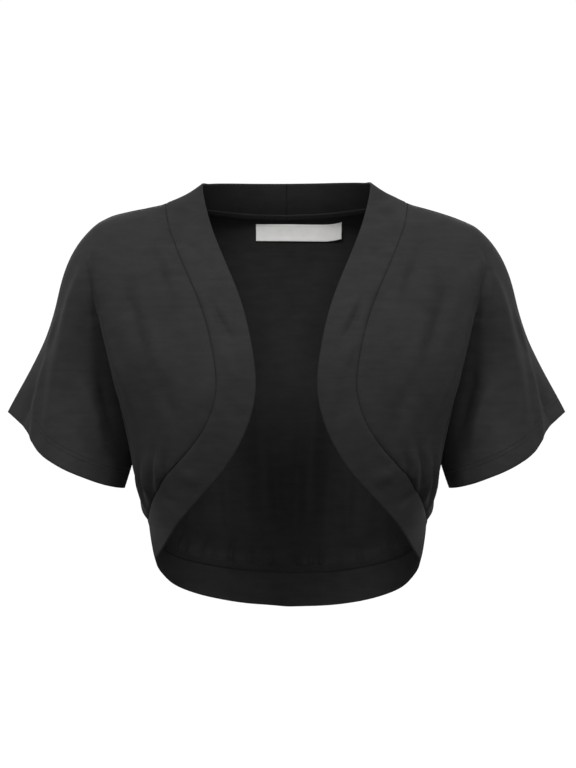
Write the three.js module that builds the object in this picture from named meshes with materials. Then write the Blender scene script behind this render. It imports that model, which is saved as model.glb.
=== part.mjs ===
import * as THREE from 'three';

// A short-sleeved bolero jacket with cut-on sleeves, filled out as if worn, in millimetres.
// X runs to the wearer's left, Y to the back and Z up. The origin is on the middle plane,
// at the height where the shoulders meet the neck band and half-way from front to back.

// Walls and seams
const PANEL_WALL = 1.2;
const BAND_WALL = 2;
const SLEEVE_HEM_WALL = 2;
const LABEL_WALL = 1;
const SEAM_GAP = 0.3;
const LABEL_GAP = 0.9;

// Sewn sizes
const SLEEVE_HEM_DEPTH = 20;
const LABEL_WIDTH = 84;
const LABEL_HEIGHT = 16.5;
const LABEL_CENTRE_X = 12;
const LABEL_CENTRE_Z = -24;
const HEM_STEP = 8;

// The gathered body stands this far over the hem band, and is fullest this far from the seam
const PUFF_HEIGHT = 3.2;
const PUFF_REACH = 9;
const PUFF_FROM = 150;
const PUFF_FULL = 100;
const GATHER_START = 4;

// How many faces each grid has
const FRONT_UPPER_ROWS = 15;
const FRONT_GATHERED_ROWS = 12;
const BACK_UPPER_ROWS = 15;
const BACK_GATHERED_ROWS = 6;
const BODY_COLUMNS = 10;
const BACK_MIDDLE_COLUMNS = 28;
const SLEEVE_COLUMNS = 10;
const BAND_COLUMNS = 4;
const LABEL_ROWS = 3;
const LABEL_COLUMNS = 12;
const LABEL_SEARCH_ROWS = 6;

// How finely curves are sampled before points are spread along them
const ROW_SAMPLES = 10;
const SEAM_SAMPLES = 60;
const TABLE_SAMPLES = 400;
const LENGTH_TOLERANCE = 1e-6;

// Share of the way down a front or the back where its closer rows for the gathers begin
const FRONT_GATHERED_FROM = 0.74;
const BACK_GATHERED_FROM = 0.84;

// How much closer the rows of the back lie near the top, where its corner at the neck rounds off
const TOP_CLOSENESS = 1.45;

const JERSEY = { color: 0x262628, roughness: 0.86, metalness: 0 };
const SATIN = { color: 0xd9d8d4, roughness: 0.55, metalness: 0 };

// Level rings round the body, by depth below the origin. Each runs from the middle to its
// widest point at edgeY, then folds back by tuck to the crease that the sleeve leaves from.
// Below the armpit the crease is the side seam.
const BODY = [
  {
    below: -8, halfWidth: 92, tuck: 0, square: 2,
    frontY: 2, frontEdgeY: 6, frontCreaseY: 6, backCreaseY: 6, backEdgeY: 7, backY: 40,
  },
  {
    below: 0, halfWidth: 116, tuck: 0, square: 2,
    frontY: -8, frontEdgeY: 5, frontCreaseY: 6, backCreaseY: 6, backEdgeY: 8, backY: 52,
  },
  {
    below: 10.5, halfWidth: 154, tuck: 0, square: 2,
    frontY: -22, frontEdgeY: 2, frontCreaseY: 6, backCreaseY: 6, backEdgeY: 10, backY: 78,
  },
  {
    below: 21.5, halfWidth: 181, tuck: 0, square: 2.1,
    frontY: -35, frontEdgeY: -3, frontCreaseY: 6, backCreaseY: 6, backEdgeY: 15, backY: 86,
  },
  {
    below: 34, halfWidth: 186, tuck: 0, square: 2.15,
    frontY: -48, frontEdgeY: -12, frontCreaseY: -8, backCreaseY: 20, backEdgeY: 24, backY: 91,
  },
  {
    below: 50, halfWidth: 187, tuck: 1, square: 2.2,
    frontY: -65, frontEdgeY: -24, frontCreaseY: -19, backCreaseY: 30, backEdgeY: 34, backY: 95,
  },
  {
    below: 74, halfWidth: 183, tuck: 4, square: 2.3,
    frontY: -85, frontEdgeY: -36, frontCreaseY: -27, backCreaseY: 40, backEdgeY: 46, backY: 99,
  },
  {
    below: 100, halfWidth: 178.5, tuck: 7, square: 2.4,
    frontY: -100, frontEdgeY: -44, frontCreaseY: -29, backCreaseY: 46, backEdgeY: 54, backY: 102,
  },
  {
    below: 121, halfWidth: 174, tuck: 9, square: 2.45,
    frontY: -108, frontEdgeY: -47, frontCreaseY: -27, backCreaseY: 46, backEdgeY: 57, backY: 103,
  },
  {
    below: 145, halfWidth: 169, tuck: 10, square: 2.5,
    frontY: -115, frontEdgeY: -46, frontCreaseY: -22, backCreaseY: 43, backEdgeY: 57, backY: 103,
  },
  {
    below: 168, halfWidth: 164, tuck: 11, square: 2.5,
    frontY: -120, frontEdgeY: -42, frontCreaseY: -15, backCreaseY: 38, backEdgeY: 54, backY: 102,
  },
  {
    below: 190, halfWidth: 158.5, tuck: 12, square: 2.5,
    frontY: -121, frontEdgeY: -35, frontCreaseY: -7, backCreaseY: 32, backEdgeY: 48, backY: 101,
  },
  {
    below: 210, halfWidth: 154, tuck: 12.5, square: 2.5,
    frontY: -119, frontEdgeY: -27, frontCreaseY: 3, backCreaseY: 24, backEdgeY: 41, backY: 100,
  },
  {
    below: 228, halfWidth: 150.5, tuck: 12.5, square: 2.5,
    frontY: -115, frontEdgeY: -19, frontCreaseY: 15, backCreaseY: 15, backEdgeY: 33, backY: 99,
  },
  {
    below: 255, halfWidth: 145.5, tuck: 6, square: 2.45,
    frontY: -107, frontEdgeY: -8, frontCreaseY: 9, backCreaseY: 9, backEdgeY: 20, backY: 98,
  },
  {
    below: 280, halfWidth: 140.5, tuck: 1, square: 2.4,
    frontY: -99, frontEdgeY: 0, frontCreaseY: 3, backCreaseY: 3, backEdgeY: 8, backY: 98,
  },
  {
    below: 301, halfWidth: 137, tuck: 1.5, square: 2.4,
    frontY: -94, frontEdgeY: -3, frontCreaseY: -3, backCreaseY: -3, backEdgeY: 0, backY: 98,
  },
  {
    below: 325, halfWidth: 131, tuck: 1.5, square: 2.4,
    frontY: -88, frontEdgeY: -3, frontCreaseY: -3, backCreaseY: 0, backEdgeY: 14, backY: 99,
  },
  {
    below: 353, halfWidth: 125, tuck: 1.5, square: 2.4,
    frontY: -82, frontEdgeY: -3, frontCreaseY: -3, backCreaseY: 10, backEdgeY: 34, backY: 100,
  },
];

// Share of a quarter ring that the fold from the widest point back to the crease takes up
const FOLD_BACK = 0.12;

// Sections across the neck and front band, from the middle of the back neck to the side
const BAND = [
  { seamX: 0, seamY: 78, seamZ: -10.5, edgeX: 0, edgeY: 56, edgeZ: 22.3, crown: -1.5 },
  { seamX: 38, seamY: 74, seamZ: -9, edgeX: 28, edgeY: 52.5, edgeZ: 22.3, crown: -1.5 },
  { seamX: 74, seamY: 57, seamZ: -5.5, edgeX: 54, edgeY: 40, edgeZ: 21.8, crown: -1.6 },
  { seamX: 102, seamY: 33, seamZ: -1.5, edgeX: 73, edgeY: 20, edgeZ: 20, crown: -1.8 },
  { seamX: 115, seamY: 5, seamZ: -0.5, edgeX: 80, edgeY: -2, edgeZ: 16, crown: -1.6 },
  { seamX: 110, seamY: -30, seamZ: -24, edgeX: 73, edgeY: -27.5, edgeZ: -15.5, crown: 0 },
  { seamX: 101, seamY: -58, seamZ: -49, edgeX: 63.5, edgeY: -50, edgeZ: -42, crown: 1 },
  { seamX: 88, seamY: -82, seamZ: -78, edgeX: 52.2, edgeY: -74, edgeZ: -68.5, crown: 1.4 },
  { seamX: 76, seamY: -99, seamZ: -107, edgeX: 40.8, edgeY: -95, edgeZ: -98, crown: 1.4 },
  { seamX: 67.5, seamY: -111, seamZ: -141, edgeX: 31.8, edgeY: -110.5, edgeZ: -135, crown: 1.2 },
  { seamX: 63.5, seamY: -117, seamZ: -180, edgeX: 27.4, edgeY: -118, edgeZ: -185, crown: 1.2 },
  { seamX: 78, seamY: -109.5, seamZ: -219, edgeX: 47.5, edgeY: -109, edgeZ: -237.5, crown: 1.2 },
  { seamX: 109, seamY: -84.5, seamZ: -254, edgeX: 82, edgeY: -87, edgeZ: -279, crown: 1.2 },
  { seamX: 127, seamY: -52, seamZ: -279, edgeX: 108, edgeY: -61, edgeZ: -308, crown: 1.2 },
  { seamX: 135.5, seamY: -3, seamZ: -301, edgeX: 125.2, edgeY: -3, edgeZ: -338.5, crown: 1.2 },
];
const SHOULDER_ROW = 4;
const SIDE_ROW = BAND.length - 1;

// Sections across the back hem band, from the side to the middle of the back
const BACK_HEM = [
  { seamX: 135.5, seamY: -3, seamZ: -301, edgeX: 125.2, edgeY: -3, edgeZ: -338.5, crown: 1.2 },
  { seamX: 133.5, seamY: 20, seamZ: -311, edgeX: 123, edgeY: 20, edgeZ: -349, crown: 1.2 },
  { seamX: 127.5, seamY: 42, seamZ: -321, edgeX: 117.5, edgeY: 42, edgeZ: -359, crown: 1.2 },
  { seamX: 118.5, seamY: 60, seamZ: -330, edgeX: 110, edgeY: 60, edgeZ: -367.5, crown: 1.2 },
  { seamX: 103, seamY: 77, seamZ: -337.5, edgeX: 97, edgeY: 75.5, edgeZ: -375, crown: 1.2 },
  { seamX: 79, seamY: 90, seamZ: -344, edgeX: 76, edgeY: 88, edgeZ: -382, crown: 1.2 },
  { seamX: 42, seamY: 98, seamZ: -350, edgeX: 42, edgeY: 96, edgeZ: -388.5, crown: 1.2 },
  { seamX: 0, seamY: 100, seamZ: -352.5, edgeX: 0, edgeY: 98, edgeZ: -391.5, crown: 1.2 },
];

// Top line of the shoulder and sleeve, from the neck band to the tip of the sleeve hem
const SHOULDER = [
  { x: 115, y: 5, z: -0.5 },
  { x: 131, y: 6, z: -4 },
  { x: 149, y: 6, z: -8.7 },
  { x: 166, y: 6, z: -14.2 },
  { x: 181, y: 6, z: -21.5 },
];
const OVERARM = [
  { x: 181, y: 6, z: -21.5 },
  { x: 195.5, y: 6.5, z: -36 },
  { x: 207, y: 8, z: -55 },
  { x: 214.5, y: 9.5, z: -77 },
  { x: 220, y: 11.5, z: -101 },
  { x: 228, y: 14, z: -126 },
  { x: 240, y: 17, z: -150 },
  { x: 253.5, y: 20.5, z: -175 },
  { x: 267, y: 24, z: -199 },
];

// Lengthwise sections of a sleeve, from the top line to the underarm seam: the depth of the
// crease that it leaves from, its point on the hem in front and behind, and the way that it
// leaves and arrives, as parts of its own length
const SLEEVE = [
  {
    share: 0, creaseZ: -21.5, creaseTurn: 1.12,
    frontX: 267, frontY: 24, frontZ: -199, backX: 267, backY: 24, backZ: -199,
    leaveX: 0.8, leaveY: 0, leaveZ: -0.6, arriveX: 0.4, arriveY: 0, arriveZ: -0.85,
  },
  {
    share: 0.1, creaseZ: -34, creaseTurn: 0.8,
    frontX: 254, frontY: 4, frontZ: -209, backX: 261, backY: 38, backZ: -204,
    leaveX: 0.72, leaveY: -0.16, leaveZ: -0.66, arriveX: 0.3, arriveY: 0.05, arriveZ: -0.9,
  },
  {
    share: 0.2, creaseZ: -52, creaseTurn: 0.84,
    frontX: 241.5, frontY: -16, frontZ: -221, backX: 250, backY: 50, backZ: -213,
    leaveX: 0.64, leaveY: -0.1, leaveZ: -0.66, arriveX: 0.16, arriveY: 0.08, arriveZ: -0.95,
  },
  {
    share: 0.3, creaseZ: -74, creaseTurn: 0.94,
    frontX: 233, frontY: -34, frontZ: -236, backX: 237, backY: 57, backZ: -225,
    leaveX: 0.58, leaveY: 0.0, leaveZ: -0.6, arriveX: 0.12, arriveY: 0.1, arriveZ: -0.95,
  },
  {
    share: 0.4, creaseZ: -97, creaseTurn: 1.04,
    frontX: 219, frontY: -44, frontZ: -246, backX: 223, backY: 59, backZ: -237,
    leaveX: 0.54, leaveY: 0.02, leaveZ: -0.52, arriveX: 0.13, arriveY: 0.1, arriveZ: -0.92,
  },
  {
    share: 0.5, creaseZ: -121, creaseTurn: 1.1,
    frontX: 204, frontY: -48, frontZ: -254, backX: 208, backY: 58, backZ: -248,
    leaveX: 0.52, leaveY: 0.0, leaveZ: -0.45, arriveX: 0.15, arriveY: 0.1, arriveZ: -0.9,
  },
  {
    share: 0.6, creaseZ: -145, creaseTurn: 1.12,
    frontX: 190, frontY: -45, frontZ: -260, backX: 194, backY: 53, backZ: -257,
    leaveX: 0.5, leaveY: -0.02, leaveZ: -0.45, arriveX: 0.17, arriveY: 0.1, arriveZ: -0.9,
  },
  {
    share: 0.7, creaseZ: -168, creaseTurn: 1.12,
    frontX: 178, frontY: -37, frontZ: -265, backX: 181, backY: 45, backZ: -264,
    leaveX: 0.48, leaveY: -0.03, leaveZ: -0.48, arriveX: 0.2, arriveY: 0.08, arriveZ: -0.9,
  },
  {
    share: 0.8, creaseZ: -190, creaseTurn: 1.12,
    frontX: 169, frontY: -26, frontZ: -268, backX: 170, backY: 34, backZ: -269,
    leaveX: 0.45, leaveY: -0.03, leaveZ: -0.5, arriveX: 0.24, arriveY: 0.06, arriveZ: -0.9,
  },
  {
    share: 0.9, creaseZ: -210, creaseTurn: 1.12,
    frontX: 162, frontY: -10, frontZ: -270, backX: 162, backY: 22, backZ: -271,
    leaveX: 0.4, leaveY: -0.02, leaveZ: -0.5, arriveX: 0.3, arriveY: 0.03, arriveZ: -0.9,
  },
  {
    share: 1, creaseZ: -228, creaseTurn: 1.12,
    frontX: 157, frontY: 8, frontZ: -271, backX: 157, backY: 8, backZ: -271,
    leaveX: 0.3, leaveY: 0, leaveZ: -0.5, arriveX: 0.38, arriveY: 0, arriveZ: -0.85,
  },
];

// Gathers drawn up by the hem seam of a front, by distance from the side seam along it
const FRONT_GATHERS = [
  { along: 18, length: 38, spread: 6, height: 1.8 },
  { along: 42, length: 52, spread: 6.5, height: 2.3 },
  { along: 66, length: 42, spread: 6.5, height: 2 },
  { along: 96, length: 26, spread: 6, height: 1.2 },
];

// Gathers drawn up by the hem seam of the back, by distance from the middle along the seam
const BACK_GATHERS = [
  { along: 9, length: 34, spread: 5, height: 1.9 },
  { along: 24, length: 48, spread: 5.5, height: 2.3 },
  { along: 41, length: 30, spread: 5, height: 1.6 },
  { along: 60, length: 44, spread: 6, height: 2.2 },
  { along: 82, length: 36, spread: 5.5, height: 1.8 },
  { along: 101, length: 50, spread: 6, height: 2.4 },
  { along: 126, length: 32, spread: 5.5, height: 1.7 },
  { along: 152, length: 40, spread: 6, height: 2 },
  { along: 178, length: 34, spread: 5.5, height: 1.7 },
];

// The largest soft folds, each a straight line over the front or back of one side. They fade
// out over this share of their length at either end.
const FOLD_END = 0.12;
const FOLDS = [
  {
    side: 'front', spread: 10, height: -2.2,
    fromX: 153, fromY: -62, fromZ: -74, toX: 131, toY: -90, toZ: -136,
  },
  {
    side: 'front', spread: 10, height: 1.6,
    fromX: 133, fromY: -92, fromZ: -108, toX: 114, toY: -105, toZ: -170,
  },
  {
    side: 'front', spread: 8, height: 2.2,
    fromX: 224, fromY: -14, fromZ: -112, toX: 241, toY: -17, toZ: -221,
  },
  {
    side: 'front', spread: 8, height: 1.6,
    fromX: 190, fromY: -32, fromZ: -84, toX: 178, toY: -30, toZ: -112,
  },
  {
    side: 'front', spread: 8, height: 1.8,
    fromX: 186, fromY: -32, fromZ: -182, toX: 170, toY: -30, toZ: -226,
  },
  {
    side: 'back', spread: 11, height: -2.2,
    fromX: 158, fromY: 70, fromZ: -84, toX: 128, toY: 92, toZ: -152,
  },
  {
    side: 'back', spread: 11, height: 1.6,
    fromX: 136, fromY: 86, fromZ: -120, toX: 112, toY: 98, toZ: -196,
  },
  {
    side: 'back', spread: 8, height: 1.8,
    fromX: 226, fromY: 30, fromZ: -116, toX: 247, toY: 50, toZ: -214,
  },
  {
    side: 'back', spread: 8, height: 1.8,
    fromX: 188, fromY: 45, fromZ: -176, toX: 172, toY: 42, toZ: -228,
  },
];

const SIDES = {
  front: { name: 'front', far: 'frontY', edge: 'frontEdgeY', crease: 'frontCreaseY', toY: -1 },
  back: { name: 'back', far: 'backY', edge: 'backEdgeY', crease: 'backCreaseY', toY: 1 },
};

const vector = (x, y, z) => new THREE.Vector3(x, y, z);
const mix = (a, b, share) => a + (b - a) * share;
const clamp = (value) => Math.min(Math.max(value, 0), 1);

// Numbers in even steps from one value up to, but not with, another
const evenly = (from, to, steps) => Array.from(
  { length: steps },
  (unused, i) => mix(from, to, i / steps),
);
const evenlyTo = (from, to, steps) => [...evenly(from, to, steps), to];

// Smooth value of a table's column at a place along its rows, where place(row, index) grows
function smoothColumn(rows, place) {
  const places = rows.map(place);
  return (name, at) => {
    let i = 0;
    while (i < rows.length - 2 && at > places[i + 1]) {
      i += 1;
    }
    const slope = (k) => {
      const low = Math.max(k - 1, 0);
      const high = Math.min(k + 1, rows.length - 1);
      return (rows[high][name] - rows[low][name]) / (places[high] - places[low]);
    };
    const width = places[i + 1] - places[i];
    const t = clamp((at - places[i]) / width);
    const a = rows[i][name];
    const b = rows[i + 1][name];
    const bend = (1 - t) * slope(i) * width - t * slope(i + 1) * width;
    return mix(a, b, t) + t * (1 - t) * (bend + (2 * t - 1) * (b - a));
  };
}

const byIndex = (row, index) => index;
const body = smoothColumn(BODY, (row) => row.below);
const band = smoothColumn(BAND, byIndex);
const backHem = smoothColumn(BACK_HEM, byIndex);
const shoulder = smoothColumn(SHOULDER, byIndex);
const overarm = smoothColumn(OVERARM, byIndex);
const sleeve = smoothColumn(SLEEVE, (row) => row.share);

const seamPoint = (table, at) => vector(table('seamX', at), table('seamY', at), table('seamZ', at));
const edgePoint = (table, at) => vector(table('edgeX', at), table('edgeY', at), table('edgeZ', at));
const linePoint = (table, at) => vector(table('x', at), table('y', at), table('z', at));

// Point of the body's form. Turn is 0 in the middle, 1 at the widest point of the ring and
// 1 + FOLD_BACK at the crease or side seam.
function bodyPoint(side, turn, z) {
  const at = (name) => body(name, -z);
  const edge = at(side.edge);
  if (turn > 1) {
    const past = (turn - 1) / FOLD_BACK;
    return vector(at('halfWidth') - at('tuck') * past * past, mix(edge, at(side.crease), past), z);
  }
  const angle = Math.max(turn, 0) * Math.PI / 2;
  const power = 2 / at('square');
  const x = at('halfWidth') * Math.sin(angle) ** power;
  return vector(x, mix(edge, at(side.far), Math.cos(angle) ** power), z);
}

// Turn of the form that a point near it belongs to
function turnOf(side, { x, y, z }) {
  const at = (name) => body(name, -z);
  const outward = clamp(x / at('halfWidth')) ** (at('square') / 2);
  const backward = clamp((y - at(side.edge)) / (at(side.far) - at(side.edge))) ** (at('square') / 2);
  return Math.atan2(outward, backward) * 2 / Math.PI;
}

const CREASE_TURN = 1 + FOLD_BACK;
const SHOULDER_POINT = linePoint(shoulder, 0);
const SIDE_POINT = seamPoint(band, SIDE_ROW);
const HEM_ROWS = BACK_HEM.length - 1;
const FORM_MIDDLE = vector(0, 0, -150);

// Share of the back's width, from the middle to the crease, where the neck seam ends above
// and the hem seam ends below
const CORNER_SHARE = 0.7;

// The four edges of a body panel. Each gives its real point, and its turn and height on the form.
const onForm = (side, point) => ({ point, turn: turnOf(side, point), z: point.z });

function creaseEdge(side, share) {
  const z = sleeve('creaseZ', share);
  const turn = sleeve('creaseTurn', share);
  return { point: bodyPoint(side, turn, z), turn, z };
}

function shoulderEdge(side, share) {
  const point = linePoint(shoulder, share * (SHOULDER.length - 1));
  return { point, turn: mix(turnOf(side, SHOULDER_POINT), CREASE_TURN, share), z: point.z };
}

function sideEdge(side, share) {
  const z = mix(SIDE_POINT.z, SLEEVE[SLEEVE.length - 1].creaseZ, share);
  const turn = mix(turnOf(side, SIDE_POINT), CREASE_TURN, share);
  return { point: bodyPoint(side, CREASE_TURN, z), turn, z };
}

const frontSeamRow = (share) => mix(SHOULDER_ROW, SIDE_ROW, share);

const FRONT_EDGES = {
  inner: (share) => onForm(SIDES.front, seamPoint(band, frontSeamRow(share))),
  outer: (share) => creaseEdge(SIDES.front, share),
  top: (share) => shoulderEdge(SIDES.front, share),
  bottom: (share) => sideEdge(SIDES.front, share),
};

const BACK_EDGES = {
  inner: (share) => {
    const z = mix(BAND[0].seamZ, BACK_HEM[HEM_ROWS].seamZ, share);
    return { point: bodyPoint(SIDES.back, 0, z), turn: 0, z };
  },
  outer: (share) => creaseEdge(SIDES.back, share),
  top: (share) => (share < CORNER_SHARE
    ? onForm(SIDES.back, seamPoint(band, SHOULDER_ROW * share / CORNER_SHARE))
    : shoulderEdge(SIDES.back, (share - CORNER_SHARE) / (1 - CORNER_SHARE))),
  bottom: (share) => (share < CORNER_SHARE
    ? onForm(SIDES.back, seamPoint(backHem, HEM_ROWS * (1 - share / CORNER_SHARE)))
    : sideEdge(SIDES.back, (share - CORNER_SHARE) / (1 - CORNER_SHARE))),
};

// Fills in between four edges, for numbers and for vectors alike
function fillIn(edges, out, down, add, scale) {
  const sides = add(
    add(scale(edges.inner(down), 1 - out), scale(edges.outer(down), out)),
    add(scale(edges.top(out), 1 - down), scale(edges.bottom(out), down)),
  );
  const above = add(
    scale(edges.inner(0), (1 - out) * (1 - down)),
    scale(edges.outer(0), out * (1 - down)),
  );
  const below = add(scale(edges.inner(1), (1 - out) * down), scale(edges.outer(1), out * down));
  return add(sides, scale(add(above, below), -1));
}

const addNumbers = (a, b) => a + b;
const scaleNumber = (a, by) => a * by;
const addVectors = (a, b) => a.clone().add(b);
const scaleVector = (a, by) => a.clone().multiplyScalar(by);

// The same edges, each giving only what read takes from them
function pick(edges, read) {
  const pairs = Object.entries(edges).map(([name, edge]) => [name, (share) => read(edge(share))]);
  return Object.fromEntries(pairs);
}

// Point of a body panel: out is 0 at the seam or middle and 1 at the crease, down is 0 at the top
function panelPoint(side, out, down) {
  const edges = side === SIDES.front ? FRONT_EDGES : BACK_EDGES;
  const turn = fillIn(pick(edges, (edge) => edge.turn), out, down, addNumbers, scaleNumber);
  const z = fillIn(pick(edges, (edge) => edge.z), out, down, addNumbers, scaleNumber);
  const offForm = (edge) => edge.point.clone().sub(bodyPoint(side, edge.turn, edge.z));
  return bodyPoint(side, turn, z).add(fillIn(pick(edges, offForm), out, down, addVectors, scaleVector));
}

// Point part of the way from a to b, leaving and arriving in the given directions
function sweep(a, b, leave, arrive, t) {
  return a.clone().multiplyScalar(2 * t ** 3 - 3 * t ** 2 + 1)
    .addScaledVector(leave, t ** 3 - 2 * t ** 2 + t)
    .addScaledVector(b, 3 * t ** 2 - 2 * t ** 3)
    .addScaledVector(arrive, t ** 3 - t ** 2);
}

// Point of a sleeve: along is 0 at the crease and 1 at the hem, down is 0 at the top line
function sleevePoint(side, along, down) {
  const at = (name) => sleeve(name, down);
  const start = panelPoint(side, 1, down);
  const end = vector(at(`${side.name}X`), at(`${side.name}Y`), at(`${side.name}Z`));
  const length = start.distanceTo(end);
  const leave = vector(at('leaveX'), at('leaveY') * -side.toY, at('leaveZ')).multiplyScalar(length);
  const arrive = vector(at('arriveX'), at('arriveY') * side.toY, at('arriveZ')).multiplyScalar(length);
  const point = sweep(start, end, leave, arrive, along);
  const topEnd = linePoint(overarm, OVERARM.length - 1);
  const topStart = linePoint(overarm, 0);
  const topLength = topStart.distanceTo(topEnd);
  const topLeave = vector(SLEEVE[0].leaveX, 0, SLEEVE[0].leaveZ).multiplyScalar(topLength);
  const topArrive = vector(SLEEVE[0].arriveX, 0, SLEEVE[0].arriveZ).multiplyScalar(topLength);
  const plainTop = sweep(topStart, topEnd, topLeave, topArrive, along);
  const realTop = linePoint(overarm, along * (OVERARM.length - 1));
  return point.addScaledVector(realTop.sub(plainTop), (1 - down) ** 3);
}

// Distances along a line of points
function distances(points) {
  const sums = [0];
  for (let i = 1; i < points.length; i += 1) {
    sums.push(sums[i - 1] + points[i].distanceTo(points[i - 1]));
  }
  return sums;
}

// Points spread along the curve through the keys, evenly within each stretch. A stretch ends at
// its key or, as evenness goes from 0 to 1, nearer to its even share of the body.
function spreadRow(keys, stretches, evenness) {
  const curve = new THREE.CatmullRomCurve3(keys, false, 'centripetal');
  const samples = evenlyTo(0, 1, (keys.length - 1) * ROW_SAMPLES).map((t) => curve.getPoint(t));
  const lengths = distances(samples);
  const atLength = (length) => {
    let i = 1;
    while (i < lengths.length - 1 && lengths[i] < length) {
      i += 1;
    }
    const share = (length - lengths[i - 1]) / (lengths[i] - lengths[i - 1]);
    return samples[i - 1].clone().lerp(samples[i], share);
  };
  const row = [keys[0].clone()];
  let from = 0;
  for (const { toKey, faces, evenShare } of stretches) {
    const keyed = lengths[toKey * ROW_SAMPLES];
    const even = lengths[BODY_KEYS * ROW_SAMPLES] * evenShare;
    const to = evenShare ? mix(keyed, even, evenness) : keyed;
    for (let j = 1; j <= faces; j += 1) {
      row.push(atLength(mix(from, to, j / faces)));
    }
    from = to;
  }
  return row;
}

const BODY_KEYS = 10;
const SLEEVE_KEYS = 6;
const ALL_KEYS = BODY_KEYS + SLEEVE_KEYS;
const FRONT_STRETCHES = [
  { toKey: BODY_KEYS, faces: BODY_COLUMNS },
  { toKey: ALL_KEYS, faces: SLEEVE_COLUMNS },
];

// Share of the way down, from either end, by which the columns of the back are even, and the
// share of the body's width that its middle columns then take
const EVEN_FROM = 0.2;
const BACK_MIDDLE_SHARE = 0.6;
const BACK_STRETCHES = [
  { toKey: BODY_KEYS * CORNER_SHARE, faces: BACK_MIDDLE_COLUMNS, evenShare: BACK_MIDDLE_SHARE },
  { toKey: BODY_KEYS, faces: BODY_COLUMNS },
  { toKey: ALL_KEYS, faces: SLEEVE_COLUMNS },
];

// One row of a panel, from its inner edge over the body and the sleeve to the sleeve hem
function panelRow(side, down) {
  const bodyKeys = evenlyTo(0, 1, BODY_KEYS).map((out) => panelPoint(side, out, down));
  const sleeveKeys = evenlyTo(0, 1, SLEEVE_KEYS).map((along) => sleevePoint(side, along, down));
  const stretches = side === SIDES.front ? FRONT_STRETCHES : BACK_STRETCHES;
  const evenness = clamp(Math.min(down, 1 - down) / EVEN_FROM);
  return spreadRow([...bodyKeys, ...sleeveKeys.slice(1)], stretches, evenness);
}

// Frame of a band's seam, shared by both walls so that their edges are parallel. PanelSide is
// a point of the panel close to the seam, and the step is in rows of the band's table.
const TANGENT_STEP = 0.02;
const PANEL_SIDE = 0.06;

function seamFrame(table, at, panelSide) {
  const point = seamPoint(table, at);
  const tangent = seamPoint(table, at + TANGENT_STEP).sub(seamPoint(table, at - TANGENT_STEP));
  tangent.normalize();
  const across = point.clone().sub(edgePoint(table, at)).normalize().add(panelSide.sub(point).normalize());
  across.addScaledVector(tangent, -across.dot(tangent)).normalize();
  const normal = tangent.cross(across).normalize();
  if (normal.dot(point.clone().sub(FORM_MIDDLE)) < 0) normal.negate();
  return { point, across, normal };
}

function bandFrame(at) {
  const panelSide = at < SHOULDER_ROW
    ? panelPoint(SIDES.back, CORNER_SHARE * at / SHOULDER_ROW, PANEL_SIDE)
    : panelPoint(SIDES.front, PANEL_SIDE, (at - SHOULDER_ROW) / (SIDE_ROW - SHOULDER_ROW));
  return seamFrame(band, at, panelSide);
}

function hemFrame(at) {
  const panelSide = panelPoint(SIDES.back, CORNER_SHARE * (1 - at / HEM_ROWS), 1 - PANEL_SIDE);
  return seamFrame(backHem, at, panelSide);
}

// Outward directions over a grid of points. A point on the plain body tells which way is out.
function gridNormals(points) {
  const rows = points.length - 1;
  const columns = points[0].length - 1;
  const normals = points.map((row, i) => row.map((point, j) => {
    const down = points[Math.min(i + 1, rows)][j].clone().sub(points[Math.max(i - 1, 0)][j]);
    const out = row[Math.min(j + 1, columns)].clone().sub(row[Math.max(j - 1, 0)]);
    return down.cross(out).normalize();
  }));
  const i = Math.floor(rows / 2);
  const j = Math.floor(columns / 4);
  if (normals[i][j].dot(points[i][j].clone().sub(FORM_MIDDLE)) < 0) {
    normals.forEach((row) => row.forEach((normal) => normal.negate()));
  }
  return normals;
}

// Closed wall round a grid of middle points, thickness(i, j) thick. Its faces are turned by
// one quad of the plain body, so that all of them point out.
function wall(points, normals, thickness) {
  const rows = points.length;
  const columns = points[0].length;
  const positions = [];
  for (const share of [0.5, -0.5]) {
    points.forEach((row, i) => row.forEach((point, j) => {
      const moved = point.clone().addScaledVector(normals[i][j], share * thickness(i, j));
      positions.push(moved.x, moved.y, moved.z);
    }));
  }
  const outer = (i, j) => i * columns + j;
  const inner = (i, j) => rows * columns + i * columns + j;
  const m = Math.floor(rows / 2);
  const n = Math.floor(columns / 4);
  const down = points[m + 1][n].clone().sub(points[m][n]);
  const straight = down.cross(points[m][n + 1].clone().sub(points[m][n])).dot(normals[m][n]) > 0;
  const faces = [];
  const face = (a, b, c) => faces.push(...(straight ? [a, b, c] : [a, c, b]));
  const quad = (a, b, c, d, fromFirst = true) => {
    if (fromFirst) {
      face(a, b, c);
      face(a, c, d);
    } else {
      face(a, b, d);
      face(b, c, d);
    }
  };
  // Both walls are split along the same diagonal, the shorter one, which keeps sheared faces smooth
  for (let i = 0; i < rows - 1; i += 1) {
    for (let j = 0; j < columns - 1; j += 1) {
      const first = points[i][j].distanceTo(points[i + 1][j + 1]);
      const second = points[i + 1][j].distanceTo(points[i][j + 1]);
      quad(outer(i, j), outer(i + 1, j), outer(i + 1, j + 1), outer(i, j + 1), first <= second);
      quad(inner(i, j + 1), inner(i + 1, j + 1), inner(i + 1, j), inner(i, j), first > second);
    }
  }
  for (let j = 0; j < columns - 1; j += 1) {
    quad(outer(0, j), outer(0, j + 1), inner(0, j + 1), inner(0, j));
    quad(inner(rows - 1, j), inner(rows - 1, j + 1), outer(rows - 1, j + 1), outer(rows - 1, j));
  }
  for (let i = 0; i < rows - 1; i += 1) {
    quad(inner(i, 0), inner(i + 1, 0), outer(i + 1, 0), outer(i, 0));
    const last = columns - 1;
    quad(outer(i, last), outer(i + 1, last), inner(i + 1, last), inner(i, last));
  }
  const geometry = new THREE.BufferGeometry();
  geometry.setAttribute('position', new THREE.Float32BufferAttribute(positions, 3));
  geometry.setIndex(faces);
  geometry.computeVertexNormals();
  return geometry;
}

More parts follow.
